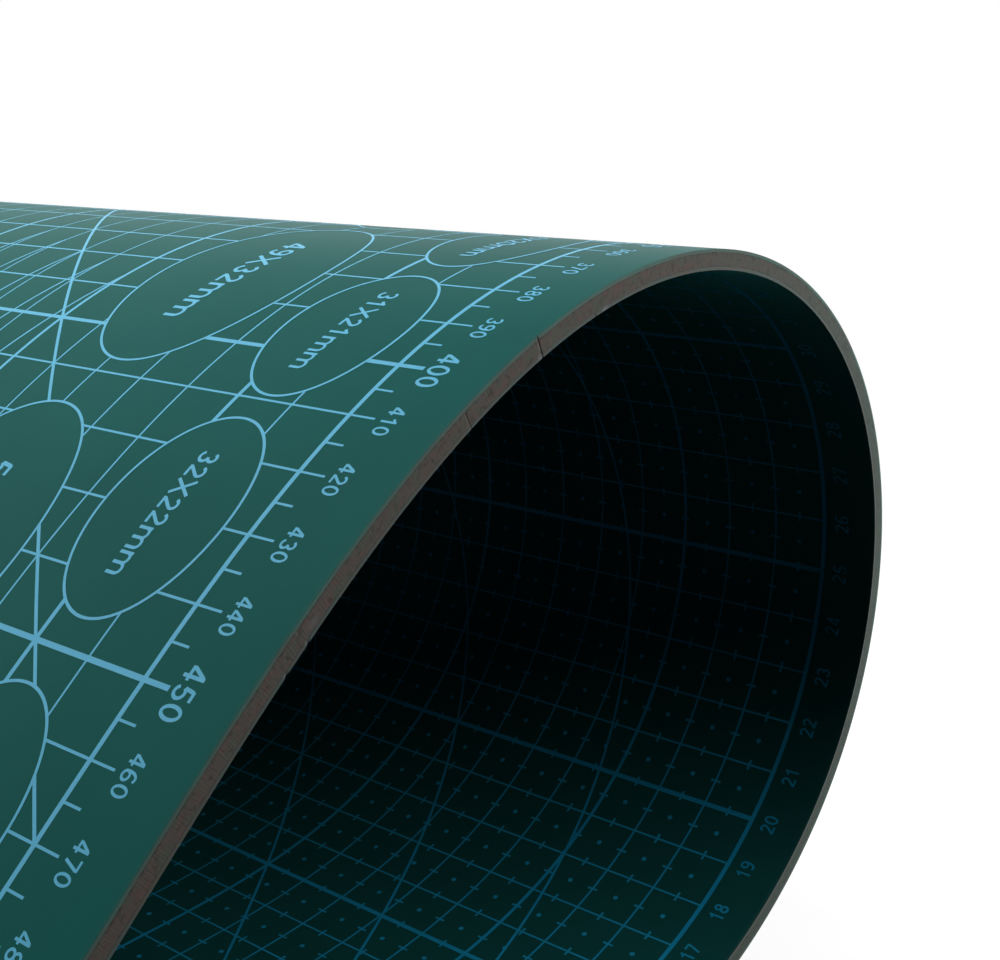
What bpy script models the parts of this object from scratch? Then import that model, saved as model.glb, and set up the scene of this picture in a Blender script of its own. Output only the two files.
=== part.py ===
"""Self-healing cutting mat of A2 size: three plies of PVC, lying curled over on itself.

Metres, +Z up. The mat's first stretch lies flat with its millimetre face down. The rest rises
into a loop and comes back over it, until the free end lands on the table just past the lying end.
X runs along the mat's length, from the open end to the loop, and Y runs across its width.
The origin is on the table, in the middle of the bounding box.
"""

import math

import bmesh
import bpy
import numpy as np
from mathutils import Matrix

# The sheet as it is laminated, trimmed and packed flat
SHEET_LENGTH = 0.600
SHEET_WIDTH = 0.450
SHEET_THICKNESS = 0.003
SKIN_THICKNESS = 0.0005
GLUE_LINE = 0.00005
CORNER_RADIUS = 0.005

# The curl, as lengths along the sheet: up to its tightest bend, down from it, and the toe
RISE_LENGTH = 0.139
FALL_LENGTH = 0.261
TOE_LENGTH = 0.150
TOE_TURN = math.radians(10.3)

# Where the free end lands: past the lying end along the table, and just clear of the table
OVERHANG = 0.021
TOE_CLEARANCE = 0.0001

# Fineness of the curl's path, of the plies' facets around it and of the round corners
PATH_STEP = 0.001
FACET_TURN = math.radians(3)
CORNER_SEGMENTS = 4

HALF_THICKNESS = SHEET_THICKNESS / 2
CORE_THICKNESS = SHEET_THICKNESS - 2 * (SKIN_THICKNESS + GLUE_LINE)


def clear_scene():
    for thing in list(bpy.data.objects):
        bpy.data.objects.remove(thing, do_unlink=True)


def new_collection(name):
    collection = bpy.data.collections.new(name)
    bpy.context.scene.collection.children.link(collection)
    return collection


def plastic(name, colour, roughness):
    """Soft PVC with its colour given as linear red, green and blue."""
    material = bpy.data.materials.new(name)
    material.use_nodes = True
    material.diffuse_color = (*colour, 1)
    shader = material.node_tree.nodes["Principled BSDF"]
    shader.inputs["Base Color"].default_value = (*colour, 1)
    shader.inputs["Roughness"].default_value = roughness
    shader.inputs["Metallic"].default_value = 0
    return material


def bending(distance, lying_length, tightest):
    """Curvature of the sheet at each distance from its lying end.

    It grows as a quarter cosine to the tightest bend, and dies away as a squared quarter cosine.
    Over the toe, a squared sine takes a little off, because the landed end props the flap up.
    """
    past_tightest = distance - (lying_length + RISE_LENGTH)
    rise = np.cos(np.pi / 2 * np.clip(-past_tightest / RISE_LENGTH, 0, 1))
    fall = np.cos(np.pi / 2 * np.clip(past_tightest / FALL_LENGTH, 0, 1)) ** 2
    along_toe = np.clip(1 - (SHEET_LENGTH - distance) / TOE_LENGTH, 0, 1)
    toe = TOE_TURN * 2 / TOE_LENGTH * np.sin(np.pi * along_toe) ** 2
    return tightest * np.where(past_tightest < 0, rise, fall) - toe


def summed(values, step):
    """The running integral of evenly spaced values, starting from zero."""
    return np.concatenate([[0], np.cumsum(values[1:] + values[:-1])]) * step / 2


def path_distances():
    """Evenly spaced distances along the sheet, from its lying end to its free end."""
    return np.linspace(0, SHEET_LENGTH, round(SHEET_LENGTH / PATH_STEP) + 1)


def middle_line(lying_length, tightest):
    """The sheet's middle line seen from the side: x, height and slope angle at each path point."""
    distance = path_distances()
    angle = summed(bending(distance, lying_length, tightest), distance[1])
    x = summed(np.cos(angle), distance[1])
    height = summed(np.sin(angle), distance[1]) + HALF_THICKNESS
    return x, height, angle


def landing_miss(curl):
    """How far the free end is from its place, along the table and up from it."""
    x, height, angle = middle_line(*curl)
    outer_corner = x[-1] + HALF_THICKNESS * math.sin(angle[-1])
    lowest_corner = height[-1] - HALF_THICKNESS * abs(math.cos(angle[-1]))
    return np.array([outer_corner + OVERHANG, lowest_corner - TOE_CLEARANCE])


def landed_curl():
    """Lying length and tightest curvature that land the free end in its place, by Newton's method."""
    first_turn = math.radians(225)
    first_lying = (SHEET_LENGTH - RISE_LENGTH - FALL_LENGTH) / 2
    curl = np.array([first_lying, first_turn / (RISE_LENGTH * 2 / math.pi + FALL_LENGTH / 2)])
    nudges = np.diag([1e-6, 1e-3])
    for _ in range(20):
        miss = landing_miss(curl)
        slopes = [(landing_miss(curl + nudge) - miss) / nudge.sum() for nudge in nudges]
        curl -= np.linalg.solve(np.transpose(slopes), miss)
    return curl


def cut_places(lying_length, tightest):
    """Where the plies are cut across: at the end of the lying stretch, then at each equal turn."""
    distance = path_distances()
    turned = summed(np.abs(bending(distance, lying_length, tightest)), distance[1])
    facets = round(turned[-1] / FACET_TURN)
    equal_turns = np.linspace(0, turned[-1], facets, endpoint=False)[1:]
    return [lying_length, *np.interp(equal_turns, turned, distance)]


def curl_guide(collection, lying_length, tightest):
    """The middle line as a hidden curve, drawn in its own XY plane and stood on edge."""
    x, height, angle = middle_line(lying_length, tightest)
    loop_end = (x + HALF_THICKNESS * np.sin(angle)).max()
    data = bpy.data.curves.new("curl_path", "CURVE")
    data.dimensions = "2D"
    data.use_deform_bounds = False
    spline = data.splines.new("POLY")
    spline.points.add(len(x) - 1)
    for point, along, up in zip(spline.points, x, height):
        point.co = (along, up, 0, 1)
    guide = bpy.data.objects.new("curl_path", data)
    guide.location.x = (OVERHANG - loop_end) / 2
    guide.rotation_euler.x = math.pi / 2
    guide.hide_render = True
    guide.display_type = "WIRE"
    collection.objects.link(guide)
    return guide


def trimmed_sheet(name, level, cuts):
    """A flat sheet with round corners, in the guide's XZ plane, cut across where it will bend."""
    sheet = bmesh.new()
    place = Matrix.Translation((SHEET_LENGTH / 2, level, 0))
    size = Matrix.Diagonal((SHEET_LENGTH, SHEET_WIDTH, 1, 1))
    on_edge = Matrix.Rotation(math.pi / 2, 4, "X")
    bmesh.ops.create_grid(sheet, x_segments=1, y_segments=1, size=0.5, matrix=place @ on_edge @ size)
    bmesh.ops.bevel(
        sheet,
        geom=sheet.verts[:],
        offset=CORNER_RADIUS,
        segments=CORNER_SEGMENTS,
        profile=0.5,
        affect="VERTICES",
    )
    for cut in cuts:
        bmesh.ops.bisect_plane(
            sheet,
            geom=sheet.verts[:] + sheet.edges[:] + sheet.faces[:],
            plane_co=(cut, 0, 0),
            plane_no=(1, 0, 0),
        )
    mesh = bpy.data.meshes.new(name)
    sheet.to_mesh(mesh)
    sheet.free()
    return mesh


def add_ply(name, level, thickness, cuts, guide, material, collection):
    """One ply, its middle at this level inside the sheet's middle line, rolled along the guide."""
    mesh = trimmed_sheet(name, level, cuts)
    mesh.materials.append(material)
    ply = bpy.data.objects.new(name, mesh)
    ply.location = guide.location
    ply.rotation_euler = guide.rotation_euler
    collection.objects.link(ply)
    wall = ply.modifiers.new("thickness", "SOLIDIFY")
    wall.thickness = thickness
    wall.offset = 0
    curl = ply.modifiers.new("curl", "CURVE")
    curl.object = guide
    curl.deform_axis = "POS_X"
    return ply


def main():
    clear_scene()
    parts = new_collection("cutting_mat")
    guides = new_collection("guides")
    lying_length, tightest = landed_curl()
    guide = curl_guide(guides, lying_length, tightest)
    cuts = cut_places(lying_length, tightest)
    skin_level = HALF_THICKNESS - SKIN_THICKNESS / 2
    front_green = plastic("front_green_pvc", (0.020, 0.110, 0.092), 0.45)
    back_green = plastic("back_green_pvc", (0.013, 0.085, 0.075), 0.50)
    core_grey = plastic("core_grey_pvc", (0.055, 0.052, 0.047), 0.75)
    add_ply("front_skin", -skin_level, SKIN_THICKNESS, cuts, guide, front_green, parts)
    add_ply("core", 0, CORE_THICKNESS, cuts, guide, core_grey, parts)
    add_ply("back_skin", skin_level, SKIN_THICKNESS, cuts, guide, back_green, parts)


main()
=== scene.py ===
# %% [markdown]
# # A curled cutting mat
#
# The object is a self-healing cutting mat of A2 size: a laminated sheet of PVC, green on both faces
# with a grey-brown core, printed with pale blue scales. It lies curled over on itself, as a mat does
# that has been kept rolled up: one stretch on the table, then a loop, then a flap that comes back down.
#
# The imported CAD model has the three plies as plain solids. It is loaded first, and it stays where it
# is. Everything below gives it the cut edge, the surfaces and the print of the real mat.

import bpy
import numpy as np
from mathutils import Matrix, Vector


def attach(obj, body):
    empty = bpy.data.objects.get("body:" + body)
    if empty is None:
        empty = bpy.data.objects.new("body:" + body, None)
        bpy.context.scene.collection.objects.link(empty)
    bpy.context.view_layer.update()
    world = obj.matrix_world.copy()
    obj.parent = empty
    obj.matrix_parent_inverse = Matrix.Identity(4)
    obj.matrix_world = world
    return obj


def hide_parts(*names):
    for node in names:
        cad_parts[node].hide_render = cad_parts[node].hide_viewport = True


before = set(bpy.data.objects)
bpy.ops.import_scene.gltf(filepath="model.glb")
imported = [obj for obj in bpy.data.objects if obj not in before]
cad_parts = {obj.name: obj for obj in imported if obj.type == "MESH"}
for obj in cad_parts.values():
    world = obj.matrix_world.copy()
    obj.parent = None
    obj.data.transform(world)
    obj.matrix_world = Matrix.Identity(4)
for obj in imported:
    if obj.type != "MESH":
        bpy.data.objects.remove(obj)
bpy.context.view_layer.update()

# %% [markdown]
# ## The curl is one function
#
# A sheet can be rolled but not stretched, so every point of it can be named by three numbers in mm:
# how far it is along the sheet, how far across it, and how far it is lifted off the sheet's middle
# towards the inside of the curl. If one function turns those three numbers into a place in space, then
# plies, nicks and print can all be laid out flat, as they are when the mat is made, and rolled last.
#
# The bend at each distance is a hump: it grows as a quarter cosine up to the tightest bend and dies
# away as a squared quarter cosine. A small squared sine is taken off over the toe, where the landed
# end props the flap up. Summing the bend gives the slope, and summing the slope's cosine and sine
# gives the middle line. The sizes are those of the part's source. The lying length and the tightest
# radius are the two that it works out, so that the free end lands where it rests.

# %% The curled middle line
SHEET_LENGTH = 600.0
SHEET_WIDTH = 450.0
SHEET_THICKNESS = 3.0
LYING_LENGTH = 132.0135
RISE_LENGTH = 139.0
FALL_LENGTH = 261.0
TIGHTEST_RADIUS = 55.8103
TOE_LENGTH = 150.0
TOE_TURN = np.radians(10.3)
OVERHANG = 21.0
PATH_STEP = 0.5

path = np.linspace(0, SHEET_LENGTH, round(SHEET_LENGTH / PATH_STEP) + 1)


def bending(along):
    """Curvature at each distance: (quarter cosine, then its square) / tightest radius, minus the toe."""
    past_tightest = along - (LYING_LENGTH + RISE_LENGTH)
    rise = np.cos(np.pi / 2 * np.clip(-past_tightest / RISE_LENGTH, 0, 1))
    fall = np.cos(np.pi / 2 * np.clip(past_tightest / FALL_LENGTH, 0, 1)) ** 2
    along_toe = np.clip(1 - (SHEET_LENGTH - along) / TOE_LENGTH, 0, 1)
    toe = TOE_TURN * 2 / TOE_LENGTH * np.sin(np.pi * along_toe) ** 2
    return np.where(past_tightest < 0, rise, fall) / TIGHTEST_RADIUS - toe


def summed(values):
    """Running sum along the path: each step adds the mean of its two ends times its length."""
    return np.concatenate([[0], np.cumsum(values[1:] + values[:-1])]) * path[1] / 2


path_slope = summed(bending(path))
path_x = summed(np.cos(path_slope))
path_z = summed(np.sin(path_slope)) + SHEET_THICKNESS / 2
path_x += (OVERHANG - (path_x + np.sin(path_slope) * SHEET_THICKNESS / 2).max()) / 2


def rolled(flat):
    """Places in metres of flat points (along, across, lift) in mm.

    The middle line's point at that distance, moved by the lift along the line's left-hand normal,
    which is (-sine, cosine) of the slope. The distance across the sheet is kept as it is.
    """
    along, across, lift = np.transpose(flat)
    slope = np.interp(along, path, path_slope)
    x = np.interp(along, path, path_x) - np.sin(slope) * lift
    z = np.interp(along, path, path_z) + np.cos(slope) * lift
    return np.stack([x, across, z], axis=1) / 1000


# %% [markdown]
# ## From arrays to a piece
#
# Every piece below is an array of flat points and an array of faces. The points are rolled up here,
# in one place, and the flat points stay on the mesh as an attribute named flat. The materials read
# that attribute, so that grain and streaks follow the sheet round the curl, as they do on a real one.

# %% Make a piece
def make_piece(name, flat, faces, material, marks=None):
    """A mesh of rolled points that rides on the mat. It keeps its flat points and marks as attributes."""
    mesh = bpy.data.meshes.new(name)
    mesh.from_pydata(rolled(flat).tolist(), [], faces)
    mesh.attributes.new("flat", "FLOAT_VECTOR", "POINT").data.foreach_set("vector", np.ravel(flat))
    for mark, values in (marks or {}).items():
        mesh.attributes.new(mark, "FLOAT", "POINT").data.foreach_set("value", values)
    mesh.shade_smooth()
    mesh.materials.append(material)
    piece = bpy.data.objects.new(name, mesh)
    bpy.context.scene.collection.objects.link(piece)
    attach(piece, "root")
    print(f"{name}: {len(flat)} points, {len(faces)} faces")
    return piece


print("the flat point (0, 0, 0) rolls up to", rolled([(0, 0, 0)])[0], "in metres")

# %% [markdown]
# ## Colours and nodes
#
# Colours are written as sRGB hex, as a colour picker reads them off a screen, and Blender's shaders
# want linear light, so one function turns them over. Another adds a shader node, gives it its
# settings, and fills its sockets with either a link or a plain value.

# %% Helpers for materials
def srgb(code):
    """Linear colour of an sRGB hex code: dark values / 12.92, the rest ((v + 0.055) / 1.055) ^ 2.4."""
    values = np.array([int(code[start:start + 2], 16) for start in (1, 3, 5)]) / 255
    linear = np.where(values <= 0.04045, values / 12.92, ((values + 0.055) / 1.055) ** 2.4)
    return (*linear, 1)


def add_node(tree, kind, sockets=None, **settings):
    """A new node with its settings, whose sockets take a link from another socket or a plain value."""
    node = tree.nodes.new(kind)
    for setting, value in settings.items():
        setattr(node, setting, value)
    for socket, value in (sockets or {}).items():
        if isinstance(value, bpy.types.NodeSocket):
            tree.links.new(value, node.inputs[socket])
        else:
            node.inputs[socket].default_value = value
    return node


def new_material(name):
    """An empty node material, and its tree."""
    material = bpy.data.materials.new(name)
    material.use_nodes = True
    material.node_tree.nodes.clear()
    return material, material.node_tree


print("sRGB #808080 is", round(srgb("#808080")[0], 3), "in linear light")

# %% [markdown]
# ## Calendered PVC, the green faces
#
# The faces are plasticised PVC film, about half a millimetre thick. It is rolled out between steel
# rollers (calendered), and the last roller is sandblasted, which leaves a fine, even, matt grain of
# about a quarter of a millimetre. The eye sees a deep green with a soft sheen that only turns pale
# at a grazing angle. The pigment is not quite even, so two greens are mixed by a slow noise.
#
# Where the film is cut, the blade stresses it and the green turns paler and greyer, and here and there
# the blade smears some of the core over it. The attribute wear is 1 on the cut and falls to 0 just
# beside it. Another attribute grows towards 1 where the edge was knocked, which whitens PVC, and just
# beside the nick at 405.6 mm, where its white is a painted highlight of the nick's lit flank.
#
# The sizes of the patterns are in mm, as the flat points are. The grain's depth is in metres.

# %% The green PVC of both faces
CLOUD_SIZE = 22.0
SMEAR_SIZE = 6.0
GRAIN_SIZE = 0.25
GRAIN_DEPTH = 0.00006
PVC_IOR = 1.53
# The white of bruises, also used as a painted highlight on the lit flank of the nick at 405.6 mm.
BRUISE_AND_HIGHLIGHT_WHITE = "#8C8A92"


def calendered_pvc(name, deep, light, cut, smear):
    """Green film: two greens by slow noise, a greyer cut edge, and the grain of a sandblasted roller."""
    material, tree = new_material(name)
    flat = add_node(tree, "ShaderNodeAttribute", attribute_name="flat").outputs["Vector"]
    wear = add_node(tree, "ShaderNodeAttribute", attribute_name="wear").outputs["Fac"]
    bruise_and_highlight = add_node(tree, "ShaderNodeAttribute", attribute_name="bruise_and_highlight").outputs["Fac"]
    clouds = add_node(tree, "ShaderNodeTexNoise", {
        "Vector": flat, "Scale": 1 / CLOUD_SIZE, "Detail": 3.0
    })
    grain = add_node(tree, "ShaderNodeTexNoise", {
        "Vector": flat, "Scale": 1 / GRAIN_SIZE, "Detail": 1.0
    })
    drag = add_node(tree, "ShaderNodeTexNoise", {
        "Vector": flat, "Scale": 1 / SMEAR_SIZE, "Detail": 3.0
    })
    green = add_node(tree, "ShaderNodeMix", {
        0: clouds.outputs["Fac"], 6: srgb(deep), 7: srgb(light)
    }, data_type="RGBA")
    dragged = add_node(tree, "ShaderNodeMapRange", {
        "Value": drag.outputs["Fac"], "From Min": 0.40, "From Max": 0.62
    })
    trimmed = add_node(tree, "ShaderNodeMix", {
        0: dragged.outputs["Result"], 6: srgb(cut), 7: srgb(smear)
    }, data_type="RGBA")
    edge = add_node(tree, "ShaderNodeMix", {
        0: wear, 6: green.outputs[2], 7: trimmed.outputs[2]
    }, data_type="RGBA")
    # White where a knock bruised the film, and a painted highlight beside the nick at 405.6 mm.
    bruise_and_highlight_mix = add_node(tree, "ShaderNodeMix", {
        0: bruise_and_highlight, 6: edge.outputs[2], 7: srgb(BRUISE_AND_HIGHLIGHT_WHITE)
    }, data_type="RGBA")
    rough = add_node(tree, "ShaderNodeMapRange", {
        "Value": grain.outputs["Fac"], "To Min": 0.38, "To Max": 0.50
    })
    bump = add_node(tree, "ShaderNodeBump", {
        "Height": grain.outputs["Fac"], "Strength": 0.25, "Distance": GRAIN_DEPTH
    })
    shader = add_node(tree, "ShaderNodeBsdfPrincipled", {
        "Base Color": bruise_and_highlight_mix.outputs[2],
        "Roughness": rough.outputs["Result"],
        "IOR": PVC_IOR,
        "Specular IOR Level": 0.10,
        "Normal": bump.outputs["Normal"],
    })
    add_node(tree, "ShaderNodeOutputMaterial", {"Surface": shader.outputs["BSDF"]})
    return material


front_pvc = calendered_pvc("front_calendered_green_pvc", "#0F5450", "#155E59", "#4B6A63", "#525E58")
# The back's two greens are the front's made darker: painted shade of the inside of the curl. Its cut
# colours are not darkened.
back_pvc_painted_shade = calendered_pvc("back_green_pvc_painted_shade", "#104745", "#14514F", "#4F5B57", "#565853")
print("green PVC:", front_pvc.name, back_pvc_painted_shade.name)

# %% [markdown]
# ## Filled PVC, the core
#
# The core is softer PVC filled with chalk and regrind from other batches. Its cut is greenish grey
# round the loop and drifts to grey-brown with rusty mottles on the flap. Olive and dark mottles of one
# to three millimetres are spread over both. The mat is trimmed with a guillotine, whose blade drags
# fine striations straight through the thickness. They are bumped, and their light and dark streaks are
# also painted into the colour. Close to the front film the filler has torn out here and there, and the
# small pits it leaves are painted shade: a dark colour with no depth.
#
# Every tint is mixed in where its own noise is high, so one function finds the blotches and mixes the
# tint in. The noise is stretched by a Mapping node and doesn't change across the sheet, because only
# the cut is seen. The places where the drift and the pits start and end are in mm, along the sheet and
# up through its thickness.

# %% The grey-brown PVC of the core
GREENISH_UP_TO, BROWN_FROM = 300.0, 385.0
PITTED_UP_TO, SOUND_FROM = -0.98, -0.6
STRIATION_DEPTH = 0.0001


def blotched(tree, flat, below, tint, stretch, shift, low, high, most):
    """The colour below, mixed with a tint where a stretched noise of the flat place is above low.

    The tint's share grows evenly from 0 where the noise is low to most where it is high. The shift
    moves the noise, so that no two tints have the same blotches.
    """
    place = add_node(tree, "ShaderNodeMapping", {
        "Vector": flat, "Location": (shift, 0.0, shift / 3), "Scale": stretch
    })
    noise = add_node(tree, "ShaderNodeTexNoise", {
        "Vector": place.outputs["Vector"], "Scale": 1.0, "Detail": 3.0, "Distortion": 0.6
    })
    share = add_node(tree, "ShaderNodeMapRange", {
        "Value": noise.outputs["Fac"], "From Min": low, "From Max": high, "To Max": most
    })
    return add_node(tree, "ShaderNodeMix", {
        0: share.outputs["Result"], 6: below, 7: srgb(tint)
    }, data_type="RGBA").outputs[2]


def filled_pvc(name):
    """Cut core: greenish grey that drifts to rusty brown, blotched, with painted light and shade on its
    striations, painted shade in its pits, and whitened by bruises and a painted highlight.
    """
    material, tree = new_material(name)
    flat = add_node(tree, "ShaderNodeAttribute", attribute_name="flat").outputs["Vector"]
    bruise_and_highlight = add_node(tree, "ShaderNodeAttribute", attribute_name="bruise_and_highlight").outputs["Fac"]
    parts = add_node(tree, "ShaderNodeSeparateXYZ", {0: flat})
    drift = add_node(tree, "ShaderNodeMapRange", {
        "Value": parts.outputs["X"], "From Min": GREENISH_UP_TO, "From Max": BROWN_FROM
    })
    rusty = blotched(tree, flat, srgb("#57524E"), "#62504C", (0.55, 0.0, 0.9), 0.0, 0.48, 0.66, 0.85)
    ground = add_node(tree, "ShaderNodeMix", {
        0: drift.outputs["Result"], 6: srgb("#49544F"), 7: rusty
    }, data_type="RGBA").outputs[2]
    ground = blotched(tree, flat, ground, "#50574E", (0.35, 0.0, 0.7), 40.0, 0.50, 0.66, 0.85)
    ground = blotched(tree, flat, ground, "#34322F", (0.90, 0.0, 1.1), 80.0, 0.54, 0.70, 0.6)
    streak_place = add_node(tree, "ShaderNodeMapping", {"Vector": flat, "Scale": (4.0, 0.0, 0.5)})
    streaks = add_node(tree, "ShaderNodeTexNoise", {
        "Vector": streak_place.outputs["Vector"], "Scale": 1.0, "Detail": 3.0
    })
    # The striations' noise also makes the colour a tenth darker and a tenth lighter in turn: painted
    # light and shade of the striations, on top of their bump.
    shade = add_node(tree, "ShaderNodeMapRange", {
        "Value": streaks.outputs["Fac"], "From Min": 0.3, "From Max": 0.7, "To Min": 0.90, "To Max": 1.10
    })
    ground_with_striation_shade = add_node(tree, "ShaderNodeVectorMath", {
        0: ground, 1: shade.outputs["Result"]
    }, operation="MULTIPLY")
    near_film = add_node(tree, "ShaderNodeMapRange", {
        "Value": parts.outputs["Z"], "From Min": PITTED_UP_TO, "From Max": SOUND_FROM,
        "To Min": 1.0, "To Max": 0.0,
    })
    pit_place = add_node(tree, "ShaderNodeMapping", {"Vector": flat, "Scale": (1.3, 0.0, 1.3)})
    pit_noise = add_node(tree, "ShaderNodeTexNoise", {
        "Vector": pit_place.outputs["Vector"], "Scale": 1.0, "Detail": 2.0
    })
    pits = add_node(tree, "ShaderNodeMapRange", {
        "Value": pit_noise.outputs["Fac"], "From Min": 0.52, "From Max": 0.60, "To Max": 0.5
    })
    pitted = add_node(tree, "ShaderNodeMath", {
        0: pits.outputs["Result"], 1: near_film.outputs["Result"]
    }, operation="MULTIPLY")
    # The pits are a dark colour with no depth: painted shade of small holes.
    pit_shaded = add_node(tree, "ShaderNodeMix", {
        0: pitted.outputs["Value"], 6: ground_with_striation_shade.outputs["Vector"], 7: srgb("#2C2A29")
    }, data_type="RGBA")
    # White where a knock bruised the core, and a painted highlight beside the nick at 405.6 mm.
    bruise_and_highlight_mix = add_node(tree, "ShaderNodeMix", {
        0: bruise_and_highlight, 6: pit_shaded.outputs[2], 7: srgb(BRUISE_AND_HIGHLIGHT_WHITE)
    }, data_type="RGBA")
    bump = add_node(tree, "ShaderNodeBump", {
        "Height": streaks.outputs["Fac"], "Strength": 0.5, "Distance": STRIATION_DEPTH
    })
    shader = add_node(tree, "ShaderNodeBsdfPrincipled", {
        "Base Color": bruise_and_highlight_mix.outputs[2],
        "Roughness": 0.75,
        "IOR": PVC_IOR,
        "Specular IOR Level": 0.25,
        "Normal": bump.outputs["Normal"],
    })
    add_node(tree, "ShaderNodeOutputMaterial", {"Surface": shader.outputs["BSDF"]})
    return material


core_pvc = filled_pvc("core_guillotined_filled_pvc")
print("core:", core_pvc.name)

# %% [markdown]
# ## Screen-printed ink
#
# The scales are printed through a mesh screen with an opaque vinyl ink, pale blue on the front. On
# the back, inside the curl, the same ink is given a deeper, darker blue, which is painted shade. The
# film of ink is a few hundredths of a millimetre thick. The screen leaves it slightly uneven, which the
# eye sees as a faint mottle in the wide strokes, and it is a little glossier than the grain around it.

# %% The blue ink of both faces
MOTTLE_SIZE = 0.35


def vinyl_ink(name, thin, full):
    """Opaque ink: its colour varies between thin and full with a noise as fine as the screen's mesh."""
    material, tree = new_material(name)
    flat = add_node(tree, "ShaderNodeAttribute", attribute_name="flat").outputs["Vector"]
    mottle = add_node(tree, "ShaderNodeTexNoise", {
        "Vector": flat, "Scale": 1 / MOTTLE_SIZE, "Detail": 2.0
    })
    colour = add_node(tree, "ShaderNodeMix", {
        0: mottle.outputs["Fac"], 6: srgb(thin), 7: srgb(full)
    }, data_type="RGBA")
    shader = add_node(tree, "ShaderNodeBsdfPrincipled", {
        "Base Color": colour.outputs[2], "Roughness": 0.36, "IOR": 1.5, "Specular IOR Level": 0.3
    })
    add_node(tree, "ShaderNodeOutputMaterial", {"Surface": shader.outputs["BSDF"]})
    return material


front_ink = vinyl_ink("front_screen_printed_vinyl_ink", "#5CB4D8", "#68C0E2")
# The back's blues are the front's ink made deeper and darker: painted shade of the inside of the curl.
back_ink_painted_shade = vinyl_ink("back_vinyl_ink_painted_shade", "#1490B8", "#209CC4")
print("ink:", front_ink.name, back_ink_painted_shade.name)

# %% [markdown]
# ## The three plies
#
# Each ply is a thin slab whose section is carried along the sheet. The section is a rectangle with
# its four edges rounded a little, and a few points near the edges keep the flat faces flat when the
# shading is smoothed. At both ends the sheet narrows by a quarter circle, which rounds its corners.
#
# A real cut edge is never perfect. A knife that slips over it leaves a nick straight through the
# thickness, so a list of nicks says where they are, how wide, how deep, and in which plies. A second
# list says where the edge is whitened: where a knock has bruised the PVC, and, in its first two rows,
# beside the nick at 405.6 mm, as a painted highlight of that nick's lit flank. Rows are packed closely
# there and sparsely elsewhere.
#
# The real plies are glued into one sheet, with no gap that an eye could see. The core here is a
# little thicker than the CAD solid, so that only a hundredth of a millimetre is left for the glue.

# %% Sizes of the plies and nicks of the cut edge
SKIN_THICKNESS = 0.5
GLUE_LINE = 0.01
CORNER_RADIUS = 5.0
EDGE_ROUNDING = 0.03
ROUNDING_POINTS = 4
NICK_FADE = 0.1

# along, half length, depth, lowest and highest lift
nicks = np.array([
    [405.6, 0.08, 0.13, -1.60, 1.60],
    [393.8, 0.12, 0.08, 0.90, 1.60],
    [421.0, 0.10, 0.07, -0.90, 1.60],
    [454.3, 0.25, 0.07, -0.95, -0.20],
    [454.2, 0.25, 0.13, 1.00, 1.60],
    [457.2, 0.25, 0.06, -0.30, 0.45],
    [458.4, 0.30, 0.16, 1.05, 1.60],
])

# The first two rows are a painted highlight: the lit flank beside the nick at 405.6 mm.
# along, lift, half length, half height, strength
bruises_and_flank_highlight = np.array([
    [406.1, 1.15, 0.40, 0.40, 0.55],
    [405.9, -0.20, 0.12, 0.90, 0.45],
    [391.5, 1.25, 0.55, 0.25, 0.60],
    [452.3, 0.30, 0.90, 0.50, 0.22],
])


def nick_depth(along, lift):
    """How deep the near cut edge is nicked: a bell curve along the edge, faded at both ends in lift."""
    along, lift = np.broadcast_arrays(along, lift)
    depth = np.zeros(along.shape)
    for centre, half_length, deepest, lowest, highest in nicks:
        bell = np.exp(-(((along - centre) / half_length) ** 2))
        above = np.clip((lift - lowest) / NICK_FADE, 0, 1)
        below = np.clip((highest - lift) / NICK_FADE, 0, 1)
        depth += deepest * bell * (above * below)
    return depth


def bruising(along, lift):
    """How white the near cut edge is: the strongest bell curve of the bruises and the painted highlight,
    along it and in lift.
    """
    along, lift = np.broadcast_arrays(along, lift)
    white = np.zeros(along.shape)
    for centre, level, half_length, half_height, strength in bruises_and_flank_highlight:
        bell = np.exp(-(((along - centre) / half_length) ** 2) - ((lift - level) / half_height) ** 2)
        white = np.maximum(white, strength * bell)
    return white


def half_width(along):
    """Half the sheet's width, less what a quarter circle takes off within a corner radius of an end."""
    from_end = np.minimum(along, SHEET_LENGTH - along)
    corner = 1 - np.clip(from_end / CORNER_RADIUS, 0, 1)
    return SHEET_WIDTH / 2 - CORNER_RADIUS * (1 - np.sqrt(1 - corner**2))


print(len(nicks), "nicks; half width at the end", half_width(np.array([0.0]))[0], "mm")

# %% [markdown]
# The rows of a ply are the places along the sheet where the section is set down. They are every
# millimetre and a half, plus nine at each end for the rounded corners, plus thirteen at each nick,
# bruise and painted highlight, out to 2.2 times its half length.

# %% Rows and section of a ply
ROW_STEP = 1.5
CORNER_ROWS = 9
MARK_ROWS = 13
MARK_REACH = 2.2
FLAT_INSETS = [9.0, 0.6]
BRUISE_AND_HIGHLIGHT_REACH = 1.0
CUT_WEAR_REACH = 0.04
END_WEAR_REACH = 0.1

corner_rows = CORNER_RADIUS * (1 - np.cos(np.linspace(0, np.pi / 2, CORNER_ROWS)))
marked = np.concatenate([nicks[:, :2], bruises_and_flank_highlight[:, [0, 2]]])
mark_rows = (marked[:, :1] + marked[:, 1:] * np.linspace(-MARK_REACH, MARK_REACH, MARK_ROWS)).ravel()
even_rows = np.linspace(0, SHEET_LENGTH, round(SHEET_LENGTH / ROW_STEP) + 1)
rows = np.concatenate([even_rows, corner_rows, SHEET_LENGTH - corner_rows, mark_rows])
rows = np.unique(rows.round(3))


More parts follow.
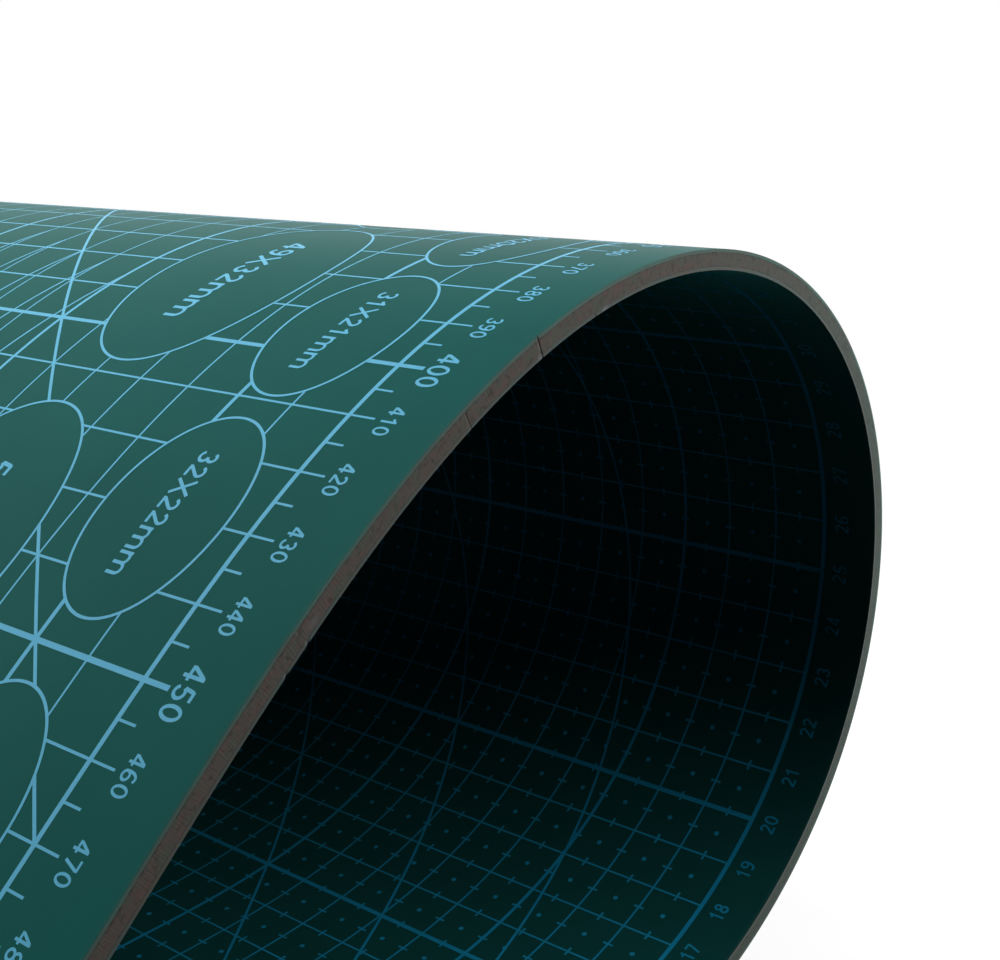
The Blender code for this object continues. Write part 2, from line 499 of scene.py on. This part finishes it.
def half_section(low, high, steps):
    """Insets and lifts up one cut edge: in along the low face, round, up in steps, round, in again."""
    turn = np.linspace(0, np.pi / 2, ROUNDING_POINTS)
    bottom_inset = EDGE_ROUNDING * (1 - np.sin(turn))
    bottom_lift = low + EDGE_ROUNDING * (1 - np.cos(turn))
    climb = np.linspace(bottom_lift[-1], high - EDGE_ROUNDING, steps + 1)[1:-1]
    rounded = np.concatenate([bottom_inset, climb * 0, bottom_inset[::-1]])
    inset = np.concatenate([FLAT_INSETS, rounded, FLAT_INSETS[::-1]])
    lift = np.concatenate([[low, low], bottom_lift, climb, high + low - bottom_lift[::-1], [high, high]])
    return inset, lift


def make_ply(name, low, high, steps, material):
    """A closed slab: the section goes up one edge and down the other, and is carried along the rows."""
    inset, lift = half_section(low, high, steps)
    along = rows[:, None] + 0 * lift
    edge = half_width(along) - inset
    nicked = edge - nick_depth(along, lift)
    across = np.concatenate([edge, -nicked[:, ::-1]], axis=1)
    lifts = np.concatenate([lift, lift[::-1]])
    columns = len(lifts)
    flat = np.stack([
        np.repeat(rows, columns), across.ravel(), np.tile(lifts, len(rows))
    ], axis=1)
    number = np.arange(len(flat)).reshape(len(rows), columns)
    after = np.roll(number, -1, axis=1)
    walls = np.stack([number[:-1], after[:-1], after[1:], number[1:]], axis=-1).reshape(-1, 4)
    faces = [*walls.tolist(), number[0, ::-1].tolist(), number[-1].tolist()]
    wear = np.clip(1 - np.concatenate([inset, inset[::-1]]) / CUT_WEAR_REACH, 0, 1)
    ends = np.clip(1 - np.minimum(rows, SHEET_LENGTH - rows) / END_WEAR_REACH, 0, 1)
    white = bruising(along, lift) * (inset < BRUISE_AND_HIGHLIGHT_REACH)
    return make_piece(name, flat, faces, material, {
        "wear": np.maximum(wear[None, :], ends[:, None]).ravel(),
        "bruise_and_highlight": np.concatenate([0 * white, white[:, ::-1]], axis=1).ravel(),
    })


skin_low = SHEET_THICKNESS / 2 - SKIN_THICKNESS
core_high = skin_low - GLUE_LINE
front_ply = make_ply("front_ply", -SHEET_THICKNESS / 2, -skin_low, 4, front_pvc)
core_ply = make_ply("core_ply", -core_high, core_high, 16, core_pvc)
back_ply = make_ply("back_ply", skin_low, SHEET_THICKNESS / 2, 4, back_pvc_painted_shade)
for ply, node, slot in [
    (front_ply, "front_skin", "front_green_pvc"),
    (core_ply, "core", "core_grey_pvc"),
    (back_ply, "back_skin", "back_green_pvc"),
]:
    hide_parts(node)

# %% [markdown]
# ## Drawing with ink
#
# The print is drawn as flat shapes that lie a few hundredths of a millimetre off the film. It could
# be a pattern in the material, but numerals and ovals are clearer as shapes, and shapes stay sharp
# in any copy of the model. Print is measured in its own coordinates: the distance along the scale
# from its zero, and the distance in from the border line beside the near edge, both in mm.
#
# Each drawing function returns points and faces, so that shapes can be joined before they are laid.

# %% Ribbons, strokes, arcs and stamps
LONGEST_STROKE_FACE = 2.0


def ribbon(points, width):
    """Ink of one width along a path: each point, moved half the width to its path's right and left."""
    points = np.asarray(points, float)
    ahead, behind = np.roll(points, -1, axis=0), np.roll(points, 1, axis=0)
    if np.allclose(points[0], points[-1]):
        ahead[-1], behind[0] = points[1], points[-2]
    else:
        ahead[-1], behind[0] = points[-1], points[0]
    run = ahead - behind
    side = np.stack([-run[:, 1], run[:, 0]], axis=1) / np.hypot(*run.T)[:, None] * width / 2
    right = np.arange(len(points) - 1)
    left = right + len(points)
    faces = np.stack([right, right + 1, left + 1, left], axis=1)
    return np.concatenate([points - side, points + side]), faces


def stroke(start, end, width):
    """A straight ribbon, cut up along the sheet so that it can follow the curl."""
    parts = max(1, int(np.ceil(abs(end[0] - start[0]) / LONGEST_STROKE_FACE)))
    return ribbon(np.linspace(start, end, parts + 1), width)


def arc(centre, radii, start, end, points=13):
    """Part of an oval: the centre plus (cosine, sine) of the turn, in degrees, times the two radii."""
    turn = np.radians(np.linspace(start, end, points))
    return np.array(centre) + np.stack([np.cos(turn), np.sin(turn)], axis=1) * radii


def stamped(points, places):
    """One small face repeated at many places: its points plus each place."""
    many = (np.array(points)[None] + np.array(places)[:, None]).reshape(-1, 2)
    return many, np.arange(len(many)).reshape(len(places), -1)


def crossings(along, inwards):
    """Every pairing of some distances along the page with some distances in from its border."""
    return np.stack(np.meshgrid(along, inwards), axis=-1).reshape(-1, 2)


print("a 10 mm stroke has", len(stroke((0, 0), (10, 0), 0.5)[1]), "faces")

# %% [markdown]
# ## Numerals
#
# The mat's numerals are a plain grotesque, whose strokes have one width all along. Such a letter is a
# ribbon along a few lines and arcs, so that is how the ten digits, the X and the m are drawn here.
# They stand on the baseline at 0, reach up to 1 and have their middle at 0. The digit 9 is a 6 turned
# upside down.

# %% Twelve glyphs
GLYPH_WIDTH = 0.70
WIDER_GLYPHS = {"X": 0.86, "m": 1.12}
GLYPH_STROKE = 0.14


def line(start, end):
    """A straight path with two points between its ends, so that it can follow the curl."""
    return np.linspace(start, end, 4)


six = [arc((0, 0.29), (0.22, 0.22), 90, 450, 17), arc((0.05, 0.42), (0.27, 0.51), 195, 58)]
glyphs = {
    "0": [arc((0, 0.5), (0.23, 0.43), 90, 450, 21)],
    "1": [line((-0.18, 0.71), (0.05, 0.90)), line((0.05, 1), (0.05, 0))],
    "2": [
        arc((0, 0.71), (0.21, 0.22), 170, -28),
        line((0.18, 0.60), (-0.20, 0.10)),
        line((-0.26, 0.07), (0.26, 0.07)),
    ],
    "3": [arc((-0.01, 0.72), (0.19, 0.21), 160, -90), arc((-0.01, 0.29), (0.22, 0.22), 90, -160)],
    "4": [
        line((0.10, 0), (0.10, 1)),
        line((0.06, 0.93), (-0.24, 0.31)),
        line((-0.29, 0.27), (0.27, 0.27)),
    ],
    "5": [
        line((0.22, 0.92), (-0.16, 0.92)),
        line((-0.13, 0.90), (-0.19, 0.46)),
        arc((-0.01, 0.31), (0.22, 0.24), 145, -155),
    ],
    "6": six,
    "7": [line((-0.25, 0.92), (0.25, 0.92)), line((0.21, 0.88), (-0.07, 0))],
    "8": [arc((0, 0.73), (0.18, 0.20), 90, 450, 17), arc((0, 0.29), (0.22, 0.22), 90, 450, 17)],
    "9": [(0, 1) - curve for curve in six],
    "X": [line((-0.34, 0), (0.34, 1)), line((-0.34, 1), (0.34, 0))],
    "m": [
        line((-0.43, 0), (-0.43, 0.72)),
        np.concatenate([arc((-0.21, 0.44), (0.22, 0.22), 170, 10), line((0.01, 0.40), (0.01, 0))]),
        np.concatenate([arc((0.23, 0.44), (0.22, 0.22), 170, 10), line((0.45, 0.40), (0.45, 0))]),
    ],
}


def label(words, centre, height, tops):
    """Glyphs side by side about a centre. Tops point away from the near border (1) or towards it (-1)."""
    widths = np.array([WIDER_GLYPHS.get(letter, GLYPH_WIDTH) for letter in words])
    middles = np.cumsum(widths) - widths / 2 - widths.sum() / 2
    shapes = []
    for letter, middle in zip(words, middles):
        for curve in glyphs[letter]:
            points = (curve + (middle, -0.5)) * (height, height * tops) + centre
            shapes.append(ribbon(points, GLYPH_STROKE * height))
    return shapes


print(len(glyphs), "glyphs; the label 32X22mm has", len(label("32X22mm", (0, 0), 3.4, 1)), "ribbons")

# %% [markdown]
# ## Laying the print on a face
#
# The front page is on the outside of the curl, the side where the lift is below zero. Its border runs
# 15 mm in from both long edges. The back page is on the inside, 10 mm in, and its zero lies 1.5 mm
# further along. A shape whose faces are drawn anticlockwise faces the inside of the curl, so for the
# front page the faces are turned over.

# %% Lay shapes on the front or back page
INK_LIFT = 0.02
LAYER_STEP = 0.006
PILE_STEP = 0.0015

# side of the sheet, zero of the scale along it, margin beside its long edges, ink
FRONT = (-1, 15.0, 15.0, front_ink)
BACK = (1, 16.5, 10.0, back_ink_painted_shade)


def lay(name, shapes, page, layer):
    """Joins flat shapes and rolls them onto a page, a few thousandths of a mm above the layer before.

    Shapes that follow each other lie at four slightly different heights, so that no two of them share
    a plane where they cross.
    """
    side, start, margin, ink = page
    sizes = [len(points) for points, faces in shapes]
    before = np.cumsum([0] + sizes[:-1])
    points = np.concatenate([points for points, faces in shapes])
    pile = np.repeat(np.arange(len(shapes)) % 4, sizes)
    height = SHEET_THICKNESS / 2 + INK_LIFT + LAYER_STEP * layer + PILE_STEP * pile
    along, across = points[:, 0] + start, points[:, 1] + margin - SHEET_WIDTH / 2
    faces = []
    for (_, own_faces), first in zip(shapes, before):
        faces += (own_faces + first)[:, ::side].tolist()
    make_piece(name, np.stack([along, across, side * height], axis=1), faces, ink)


def at_fifties(number, large, small):
    """A line's width or a number's height: large at every fifty of a scale, and small elsewhere."""
    return large if number % 50 == 0 else small


print("the front page starts at", FRONT[1], "mm and the back page at", BACK[1], "mm along the sheet")

# %% [markdown]
# ## The front page: ovals
#
# Beside the near edge there are two rows of ovals that serve as cutting templates. Each is labelled
# with its own width and height, and each is a millimetre larger than the one before it. Nothing else
# is printed inside an oval, so all lines have to stop at its outline.

# %% Ovals and their labels
OVAL_LINE = 0.42

# along, in from the border, width, height
small_ovals = [
    (170.5, 14, 24, 14), (199.5, 14, 25, 15), (229.5, 14, 26, 16), (260.5, 14, 27, 17),
    (292.5, 14, 28, 18), (325.5, 14, 29, 19), (358.6, 14.2, 30, 20), (393.6, 15.0, 31, 21),
    (429.7, 15.4, 32, 22), (471.5, 16.3, 33, 23), (509.0, 17, 34, 24), (548.0, 17.5, 35, 25),
]
large_ovals = [
    (223.0, 44, 46, 29), (276.0, 45, 47, 30), (329.5, 46, 48, 31),
    (382.6, 47.8, 49, 32), (441.8, 50, 50, 33), (502.5, 51, 51, 34),
]
ovals = np.array(small_ovals + large_ovals, float)
oval_centres, oval_radii = ovals[:, :2], ovals[:, 2:] / 2

oval_shapes = [
    ribbon(arc(centre, radii, 0, 360, 121), OVAL_LINE) for centre, radii in zip(oval_centres, oval_radii)
]
for row, height in ((small_ovals, 3.4), (large_ovals, 4.7)):
    for along, inwards, across, down in row:
        oval_shapes += label(f"{across}X{down}mm", (along, inwards), height, -1)
lay("front_ovals", oval_shapes, FRONT, 3)

# %% [markdown]
# ## The front page: grid
#
# Lines every 10 mm, with each fifth one thicker, counted from the scale's own zero, which is in the
# far corner. Where a line meets an oval, its equation along the line is quadratic, and the two roots
# are where the line enters and leaves.

# %% The front grid, cut away inside the ovals
FRONT_LENGTH = 570
FRONT_WIDTH = 420


def outside_ovals(start, end, width):
    """The strokes left of a line once each oval's inside is taken out, by the roots of the quadratic."""
    start, run = np.array(start, float), np.subtract(end, start)
    first, step = (start - oval_centres) / oval_radii, run / oval_radii
    square, cross = (step**2).sum(axis=1), (first * step).sum(axis=1)
    inside = cross**2 - square * ((first**2).sum(axis=1) - 1)
    hit = inside > 0
    enters = (-cross[hit] - np.sqrt(inside[hit])) / square[hit]
    leaves = (-cross[hit] + np.sqrt(inside[hit])) / square[hit]
    cuts = np.clip(np.sort(np.concatenate([[0, 1], enters, leaves])), 0, 1).reshape(-1, 2)
    return [stroke(start + low * run, start + high * run, width) for low, high in cuts if high > low]


across_lines, along_lines = [], []
for along in range(0, FRONT_LENGTH + 1, 10):
    across_lines += outside_ovals((along, 0), (along, FRONT_WIDTH), at_fifties(along, 0.75, 0.36))
for inwards in range(0, FRONT_WIDTH + 1, 10):
    width = 0.7 if inwards == 0 else at_fifties(FRONT_WIDTH - inwards, 0.7, 0.33)
    along_lines += outside_ovals((0, inwards), (FRONT_LENGTH, inwards), width)
lay("front_lines_across", across_lines, FRONT, 0)
lay("front_lines_along", along_lines, FRONT, 1)

# %% [markdown]
# ## The front page: angle lines
#
# A 45 degree line runs from the near border up across the page, and its mirror image crosses it.
# Where it passes the five lines from 70 to 110 mm, each of them has a companion that leaves it at about
# ten degrees. Only the beginnings are seen in the photograph, so their far ends are a guess.

# %% Angle lines of the front page
COMPANION_RUN = (72, 13)

angle_lines = outside_ovals((470, 0), (50, FRONT_WIDTH), 0.5)
angle_lines += outside_ovals((100, 0), (520, FRONT_WIDTH), 0.5)
for place in range(5):
    start = np.array([386.0 - 3.4 * place, 70.0 + 10 * place])
    angle_lines += outside_ovals(start, start + COMPANION_RUN, 0.4)
lay("front_angle_lines", angle_lines, FRONT, 2)

# %% [markdown]
# ## The front page: ticks, then numbers
#
# Outside the border there is a long tick every 10 mm and a short one every 5, and those at the fifties
# are thicker. A tick starts at the outer side of the border line, half the line's width from its middle.

# %% Ticks of the front page
LONG_TICK, SHORT_TICK = 4.2, 3.1
TICK_WIDTHS = (0.7, 0.34)
HALF_LONG_BORDER, HALF_SHORT_BORDER = 0.35, 0.38

ticks = []
for along in range(0, FRONT_LENGTH + 1, 5):
    length = LONG_TICK if along % 10 == 0 else SHORT_TICK
    width = at_fifties(along, *TICK_WIDTHS)
    ticks.append(stroke((along, -HALF_LONG_BORDER), (along, -length), width))
    ticks.append(stroke((along, FRONT_WIDTH + length), (along, FRONT_WIDTH + HALF_LONG_BORDER), width))
for inwards in range(0, FRONT_WIDTH + 1, 5):
    length = LONG_TICK if inwards % 10 == 0 else SHORT_TICK
    width = at_fifties(FRONT_WIDTH - inwards, *TICK_WIDTHS)
    far_start, far_end = FRONT_LENGTH + HALF_SHORT_BORDER, FRONT_LENGTH + length
    ticks.append(stroke((-length, inwards), (-HALF_SHORT_BORDER, inwards), width))
    ticks.append(stroke((far_start, inwards), (far_end, inwards), width))
lay("front_ticks", ticks, FRONT, 0)

# %% [markdown]
# The numbers stand upright when the near edge is at the top of the page, and those at the fifties are
# larger. Beside the short borders they stand further out, because they are wider than they are high.

# %% Numbers of the front page
NUMBER_HEIGHTS = (3.4, 2.5)
NUMBERS_OUT_LONG, NUMBERS_OUT_SHORT = 6.5, 8.6

numbers = []
for along in range(0, FRONT_LENGTH + 1, 10):
    for inwards in (-NUMBERS_OUT_LONG, FRONT_WIDTH + NUMBERS_OUT_LONG):
        numbers += label(str(along), (along, inwards), at_fifties(along, *NUMBER_HEIGHTS), -1)
for number in range(0, FRONT_WIDTH + 1, 10):
    for along in (-NUMBERS_OUT_SHORT, FRONT_LENGTH + NUMBERS_OUT_SHORT):
        centre = (along, FRONT_WIDTH - number)
        numbers += label(str(number), centre, at_fifties(number, *NUMBER_HEIGHTS), -1)
lay("front_numbers", numbers, FRONT, 0)

# %% [markdown]
# ## The back page
#
# The back is ruled in centimetres. Every cell has a dot in its middle, and every line has a short bar
# across it half way between two others, so that half centimetres can be read. Lines every fifth
# centimetre are thick, and a fan of lines leaves the near border every 11.25 degrees.

# %% Lines, bars, dots and fan of the back page
BACK_LENGTH = 570
BACK_WIDTH = 430
BAR_LENGTH, BAR_WIDTH = 2.0, 0.42
DOT_SIZE = 0.95
FAN_START = 30.0
FAN_STEP = 11.25

back_across = [
    stroke((along, 0), (along, BACK_WIDTH), at_fifties(along, 0.9, 0.38))
    for along in range(0, BACK_LENGTH + 1, 10)
]
back_along = []
for inwards in range(0, BACK_WIDTH + 1, 10):
    width = 0.8 if inwards in (0, BACK_WIDTH) else at_fifties(BACK_WIDTH - inwards, 0.66, 0.38)
    back_along.append(stroke((0, inwards), (BACK_LENGTH, inwards), width))
back_fan = []
for angle in np.radians(np.arange(1, 16) * FAN_STEP):
    reach = (BACK_LENGTH - FAN_START) if np.cos(angle) > 0 else FAN_START
    length = min(reach / max(abs(np.cos(angle)), 1e-9), BACK_WIDTH / np.sin(angle))
    end = (FAN_START + length * np.cos(angle), length * np.sin(angle))
    back_fan.append(stroke((FAN_START, 0), end, 0.5))

tens_along, tens_in = np.arange(0, BACK_LENGTH + 1, 10), np.arange(0, BACK_WIDTH + 1, 10)
fives_along, fives_in = tens_along[:-1] + 5, tens_in[:-1] + 5
turn = np.linspace(0, 2 * np.pi, 10, endpoint=False)
dot = np.stack([np.cos(turn), np.sin(turn)], axis=1) * DOT_SIZE / 2
corners = np.array([(-1, -1), (1, -1), (1, 1), (-1, 1)]) / 2
dots = stamped(dot, crossings(fives_along, fives_in))
upright_bars = stamped(corners * (BAR_WIDTH, BAR_LENGTH), crossings(fives_along, tens_in[1:-1]))
level_bars = stamped(corners * (BAR_LENGTH, BAR_WIDTH), crossings(tens_along[1:-1], fives_in))
lay("back_lines_across", back_across, BACK, 0)
lay("back_lines_along", back_along, BACK, 1)
lay("back_fan_lines", back_fan, BACK, 2)
lay("back_dots_and_bars", [dots, upright_bars, level_bars], BACK, 3)

# %% [markdown]
# ## The back page: numbers
#
# Plain centimetre numbers stand outside the border. Beside the near edge they stand upright when the
# near edge is at the bottom of the page, as they do on the real mat.

# %% Numbers of the back page
BACK_NUMBER_HEIGHT = 2.7
BACK_NUMBERS_OUT_LONG, BACK_NUMBERS_OUT_SHORT = 3.5, 4.2

back_numbers = []
for number in range(1, 57):
    for inwards in (-BACK_NUMBERS_OUT_LONG, BACK_WIDTH + BACK_NUMBERS_OUT_LONG):
        back_numbers += label(str(number), (number * 10, inwards), BACK_NUMBER_HEIGHT, 1)
for number in range(1, 43):
    for along in (-BACK_NUMBERS_OUT_SHORT, BACK_LENGTH + BACK_NUMBERS_OUT_SHORT):
        back_numbers += label(str(number), (along, BACK_WIDTH - number * 10), BACK_NUMBER_HEIGHT, 1)
lay("back_numbers", back_numbers, BACK, 0)

# %% [markdown]
# ## The floor and the light
#
# The mat lies on a plain white table in front of a white backdrop. The table is matt. Seen by the
# camera, or in a reflection, it is a pale grey that takes the mat's soft shadow, and it glows as well,
# so that it comes out white without any more light falling on the mat. The glow grows away from the
# mat, where the lamps don't reach. To all other light the table is dark grey, because in the
# photograph hardly any light comes up from it into the loop.

# %% White table
FLOOR_HALF = 4.0
FLOOR_LEVEL = -0.0001


def seen_rays(tree, light_path):
    """1 for a ray from the camera, a reflected one and one that passes through: the largest of three."""
    seen = light_path.outputs["Is Camera Ray"]
    for kind in ("Is Glossy Ray", "Is Transmission Ray"):
        seen = add_node(tree, "ShaderNodeMath", {
            0: seen, 1: light_path.outputs[kind]
        }, operation="MAXIMUM").outputs[0]
    return seen


floor_material, tree = new_material("white_table")
seen = seen_rays(tree, add_node(tree, "ShaderNodeLightPath"))
place = add_node(tree, "ShaderNodeTexCoord").outputs["Object"]
distance = add_node(tree, "ShaderNodeVectorMath", {0: place}, operation="LENGTH")
strength = add_node(tree, "ShaderNodeMapRange", {
    "Value": distance.outputs["Value"], "From Min": 0.2, "From Max": 0.6, "To Min": 0.86, "To Max": 1.0
})
dark = add_node(tree, "ShaderNodeBsdfDiffuse", {"Color": srgb("#1C1C1C")})
pale = add_node(tree, "ShaderNodeBsdfDiffuse", {"Color": srgb("#787878")})
glow = add_node(tree, "ShaderNodeEmission", {"Strength": strength.outputs["Result"]})
white = add_node(tree, "ShaderNodeAddShader", {0: pale.outputs[0], 1: glow.outputs[0]})
choice = add_node(tree, "ShaderNodeMixShader", {0: seen, 1: dark.outputs[0], 2: white.outputs[0]})
add_node(tree, "ShaderNodeOutputMaterial", {"Surface": choice.outputs[0]})

floor_mesh = bpy.data.meshes.new("floor")
floor_corners = np.array([(-1, -1, 0), (1, -1, 0), (1, 1, 0), (-1, 1, 0)]) * FLOOR_HALF
floor_mesh.from_pydata((floor_corners + (0, 0, FLOOR_LEVEL)).tolist(), [], [(0, 1, 2, 3)])
floor_mesh.materials.append(floor_material)
floor = bpy.data.objects.new("floor", floor_mesh)
bpy.context.scene.collection.objects.link(floor)
print("floor:", floor.name, "at the level", FLOOR_LEVEL)

# %% [markdown]
# The backdrop is the world. The camera sees it white. Reflections see it as it would stand in a
# studio: a white sheet behind the mat that fades out between 17 and 46 degrees up, and darkness in
# front and overhead. That is why the mat's gloss is pale only near the top of the loop, where it is
# seen at a grazing angle. All other light sees a room that is nearly dark.
#
# The sheet stands on the side that the photograph's camera looks towards. It is the height of the
# direction (the sine of the angle up) that fades it out at the top.

# %% White backdrop
BACKDROP_SIDE = (0.777, 0.629, 0.0)
SHEET_WHITE_TO, SHEET_ENDS = 0.30, 0.72
ROOM_STRENGTH = 0.004

world = bpy.data.worlds.new("studio")
world.use_nodes = True
world.node_tree.nodes.clear()
tree = world.node_tree
light_path = add_node(tree, "ShaderNodeLightPath")
direction = add_node(tree, "ShaderNodeTexCoord").outputs["Generated"]
height = add_node(tree, "ShaderNodeSeparateXYZ", {0: direction}).outputs["Z"]
below_top = add_node(tree, "ShaderNodeMapRange", {
    "Value": height, "From Min": SHEET_WHITE_TO, "From Max": SHEET_ENDS, "To Min": 1.0, "To Max": 0.0
})
facing = add_node(tree, "ShaderNodeVectorMath", {
    0: direction, 1: BACKDROP_SIDE
}, operation="DOT_PRODUCT")
behind = add_node(tree, "ShaderNodeMapRange", {
    "Value": facing.outputs["Value"], "From Min": -0.1, "From Max": 0.3, "To Min": 0.0, "To Max": 1.0
})
sheet = add_node(tree, "ShaderNodeMath", {
    0: below_top.outputs[0], 1: behind.outputs[0]
}, operation="MULTIPLY")
strength = add_node(tree, "ShaderNodeMath", {
    0: sheet.outputs[0], 1: light_path.outputs["Is Camera Ray"]
}, operation="MAXIMUM")
room = add_node(tree, "ShaderNodeBackground", {"Color": srgb("#FFFFFF"), "Strength": ROOM_STRENGTH})
white = add_node(tree, "ShaderNodeBackground", {
    "Color": srgb("#FFFFFF"), "Strength": strength.outputs[0]
})
sky = add_node(tree, "ShaderNodeMixShader", {
    0: seen_rays(tree, light_path), 1: room.outputs[0], 2: white.outputs[0]
})
add_node(tree, "ShaderNodeOutputWorld", {"Surface": sky.outputs[0]})
bpy.context.scene.world = world
print("world:", world.name)

# %% [markdown]
# Three square soft boxes light the mat. One is overhead and one at the right in front. Their places
# were found by matching how the light falls off down the flap, along the cut edge and into the loop:
# the overhead box makes the top of the flap twice as bright as its foot, and only the side box reaches
# the near cut edge and the floor of the loop. The third stands behind at the right, and is there for
# views of the far end: what it lights in the loop is the inside of the flap, which the camera of the
# photograph doesn't see.

# %% Soft boxes
NEAR_HALF = (0.0, -0.15, 0.08)
FAR_HALF = (0.0, 0.15, 0.08)


def soft_box(name, place, size, power, target):
    """A square area light that faces a target. It isn't seen, and it leaves no highlight."""
    data = bpy.data.lights.new(name, "AREA")
    data.size = size
    data.energy = power
    box = bpy.data.objects.new(name, data)
    bpy.context.scene.collection.objects.link(box)
    box.location = place
    backwards = box.location - Vector(target)
    box.rotation_euler = backwards.to_track_quat("Z", "Y").to_euler()
    box.visible_camera = False
    box.visible_glossy = False


soft_box("overhead_soft_box", (-0.008, -0.033, 0.382), 0.426, 1.66, NEAR_HALF)
soft_box("side_soft_box", (0.275, -0.405, 0.200), 0.340, 1.27, NEAR_HALF)
soft_box("far_soft_box", (0.330, 0.560, 0.260), 0.340, 1.1, FAR_HALF)

# %% [markdown]
# ## The camera
#
# The camera's place was worked out from the printed ticks: each has a known place on the mat, and one
# camera has to see them all where the photograph shows them. It stands close, 15 to 30 cm from the
# near edge, and looks slightly down. A camera with no turn looks straight down and has +Y at the top
# of its picture, so it is tipped up to the horizon, less the angle down, and then turned to its heading.

# %% Camera
DEGREES_DOWN = 13.98
HEADING = -51.01

camera_data = bpy.data.cameras.new("camera")
camera_data.sensor_width = 36
camera_data.lens = 53.30
camera_data.clip_start = 0.01
camera = bpy.data.objects.new("camera", camera_data)
bpy.context.scene.collection.objects.link(camera)
camera.location = (-0.11637, -0.33409, 0.14611)
camera.rotation_euler = np.radians((90 - DEGREES_DOWN, 0, HEADING))
bpy.context.scene.camera = camera
bpy.context.scene.view_settings.view_transform = "Standard"
print("camera:", camera.name, "with a lens of", camera_data.lens, "mm")
